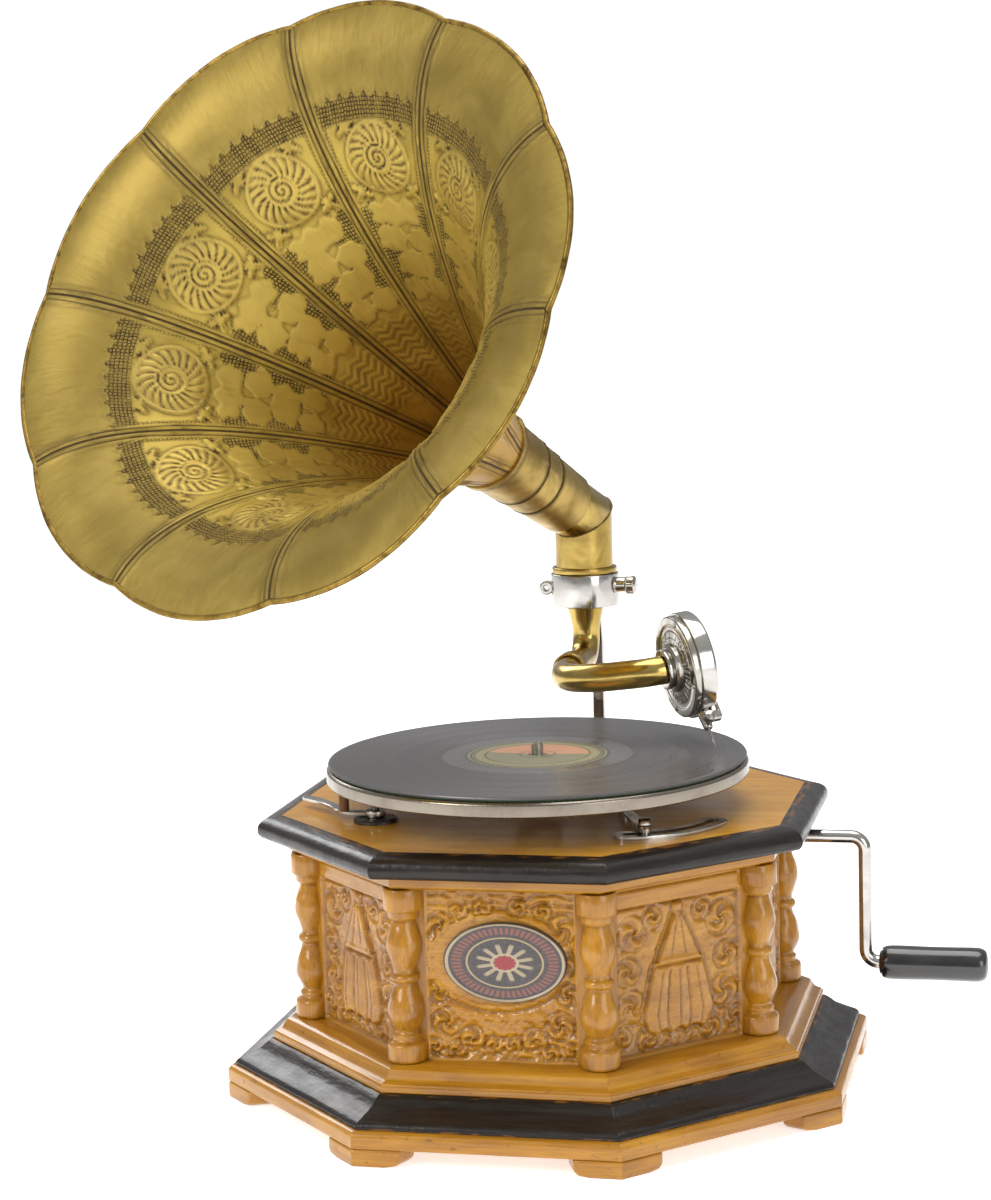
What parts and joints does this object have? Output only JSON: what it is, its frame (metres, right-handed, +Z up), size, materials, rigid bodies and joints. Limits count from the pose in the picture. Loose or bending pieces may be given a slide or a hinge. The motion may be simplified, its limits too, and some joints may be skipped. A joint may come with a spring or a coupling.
{
  "type": "wind-up phonograph",
  "caption": "Hand-cranked table phonograph with a flower horn on a swivelling bracket, carved octagonal case, turntable, tone arm and clockwork motor.",
  "frame": {"origin": "on the table, under the centre of the octagonal case", "axes": "+Z up along the spindle, -Y towards the front with the badge, +X towards the crank"},
  "size_m": [0.5498, 0.4338, 0.6447],
  "materials": {
    "honey_wood": "aged honey varnish, carved",
    "board_wood": "smooth honey varnish",
    "inner_wood": "raw plywood",
    "black_gloss": "hand-brushed gloss black lacquer on wood",
    "badge_enamel": "dark enamel badge with a plain border",
    "horn_brass": "embossed sheet brass with dark patina",
    "rim_brass": "tarnished rolled edge",
    "polished_brass": "polished",
    "nickel": "bright nickel plate",
    "platter_nickel": "worn nickel plate",
    "steel": "turned steel",
    "blued_steel": "blued spring steel",
    "dark_iron": "dark lacquered iron",
    "gear_brass": "machined",
    "shellac": "glossy grooved record",
    "label_paper": "printed paper, no lettering",
    "green_felt": "felt",
    "mica": "translucent mica sheet",
    "gasket_rubber": "soft rubber",
    "brake_leather": "leather",
    "black_grip": "gloss black lacquered wood"
  },
  "bodies": {
    "case": {"corner_feet": "honey_wood", "plinth": "honey_wood", "base_moulding": "black_gloss", "base_step": "board_wood", "base_board": "inner_wood", "front_panel": "honey_wood", "crank_panel": "honey_wood", "side_panels": "honey_wood", "corner_columns": "honey_wood", "top_rail": "board_wood", "lid_board": "board_wood", "lid_moulding": "black_gloss", "name_badge": "badge_enamel", "crank_escutcheon": "polished_brass", "rear_bracket": "nickel", "bracket_ring": "nickel", "bracket_screws": "steel", "brake_plate": "dark_iron", "speed_plate": "steel", "bedplate": "dark_iron", "lower_plate": "dark_iron", "motor_pillars": "steel", "motor_screws": "steel"},
    "clamp_screw": {"clamp_screw": "nickel"},
    "elbow": {"horn_elbow": "polished_brass"},
    "horn": {"horn_petals": "horn_brass", "horn_rim": "rim_brass", "horn_neck": "polished_brass"},
    "tonearm": {"tonearm_tube": "polished_brass"},
    "gooseneck": {"gooseneck": "polished_brass", "soundbox_back": "nickel", "soundbox_rim": "nickel", "soundbox_gasket": "gasket_rubber", "diaphragm": "mica", "stylus_bar": "nickel", "needle": "steel"},
    "needle_screw": {"needle_screw": "nickel"},
    "turntable": {"platter": "platter_nickel", "platter_rim": "platter_nickel", "felt_mat": "green_felt", "record": "shellac", "record_label": "label_paper", "spindle": "steel", "worm_wheel": "gear_brass"},
    "brake": {"brake_lever": "dark_iron", "brake_pad": "brake_leather"},
    "speed": {"speed_lever": "dark_iron", "friction_arm": "steel"},
    "crank": {"crank_rod": "nickel", "winding_pinion": "steel"},
    "grip": {"crank_grip": "black_grip"},
    "arbor": {"barrel_arbor": "steel", "winding_wheel": "steel"},
    "barrel": {"spring_barrel": "steel", "barrel_cover": "steel", "mainspring": "blued_steel"},
    "intermediate": {"intermediate_arbor": "steel", "intermediate_wheel": "gear_brass"},
    "governor": {"governor_shaft": "steel", "governor_weights": "dark_iron", "governor_springs": "blued_steel", "governor_disc": "gear_brass"}
  },
  "joints": [
    {"name": "turntable_spin", "type": "hinge", "parent": "case", "child": "turntable", "pos_m": [0, -0.0256, 0.19], "axis": [0, 0, 1], "continuous": true},
    {"name": "intermediate_spin", "type": "hinge", "parent": "case", "child": "intermediate", "pos_m": [-0.0288, -0.02616, 0.093], "axis": [0, 0, 1], "continuous": true},
    {"name": "barrel_spin", "type": "hinge", "parent": "case", "child": "barrel", "pos_m": [-0.04, 0.02, 0.115], "axis": [0, 0, 1], "continuous": true},
    {"name": "governor_spin", "type": "hinge", "parent": "case", "child": "governor", "pos_m": [0, -0.0456, 0.12], "axis": [1, 0, 0], "continuous": true},
    {"name": "crank_turn", "type": "hinge", "parent": "case", "child": "crank", "pos_m": [0, 0.02, 0.1465], "axis": [1, 0, 0], "continuous": true},
    {"name": "grip_spin", "type": "hinge", "parent": "crank", "child": "grip", "pos_m": [0.23, 0.02, 0.0695], "axis": [1, 0, 0], "continuous": true},
    {"name": "arbor_turn", "type": "hinge", "parent": "case", "child": "arbor", "pos_m": [-0.04, 0.02, 0.115], "axis": [0, 0, 1], "continuous": true},
    {"name": "tonearm_swing", "type": "hinge", "parent": "case", "child": "tonearm", "pos_m": [0, 0.13, 0.26], "axis": [0, 0, 1], "range_deg": [-24, 25]},
    {"name": "gooseneck_flip", "type": "hinge", "parent": "tonearm", "child": "gooseneck", "pos_m": [0, 0.076, 0.238], "axis": [0, -1, 0], "range_deg": [0, 130]},
    {"name": "needle_screw_turn", "type": "hinge", "parent": "gooseneck", "child": "needle_screw", "pos_m": [0.09716, 0.00804, 0.21757], "axis": [0.3595, -0.7253, 0.5871], "continuous": true},
    {"name": "horn_turn", "type": "hinge", "parent": "case", "child": "elbow", "pos_m": [0, 0.13, 0.29], "axis": [0, 0, 1], "range_deg": [-180, 180]},
    {"name": "horn_pull", "type": "slide", "parent": "elbow", "child": "horn", "axis": [-0.335, -0.829, 0.4478], "range_m": [0, 0.018]},
    {"name": "clamp_screw_turn", "type": "hinge", "parent": "case", "child": "clamp_screw", "pos_m": [0.03, 0.13, 0.285], "axis": [1, 0, 0], "continuous": true},
    {"name": "brake_swing", "type": "hinge", "parent": "case", "child": "brake", "pos_m": [-0.088, -0.073, 0.175], "axis": [0, 0, 1], "range_deg": [-8, 8]},
    {"name": "speed_swing", "type": "hinge", "parent": "case", "child": "speed", "pos_m": [0.0556, -0.0462, 0.15], "axis": [0, 0, 1], "range_deg": [-0.5, 45]}
  ],
  "couplings": [
    {"joint": "intermediate_spin", "follows": "turntable_spin", "ratio": -0.2},
    {"joint": "barrel_spin", "follows": "turntable_spin", "ratio": 0.0375},
    {"joint": "governor_spin", "follows": "turntable_spin", "ratio": -10},
    {"joint": "arbor_turn", "follows": "crank_turn", "ratio": 0.25}
  ]
}
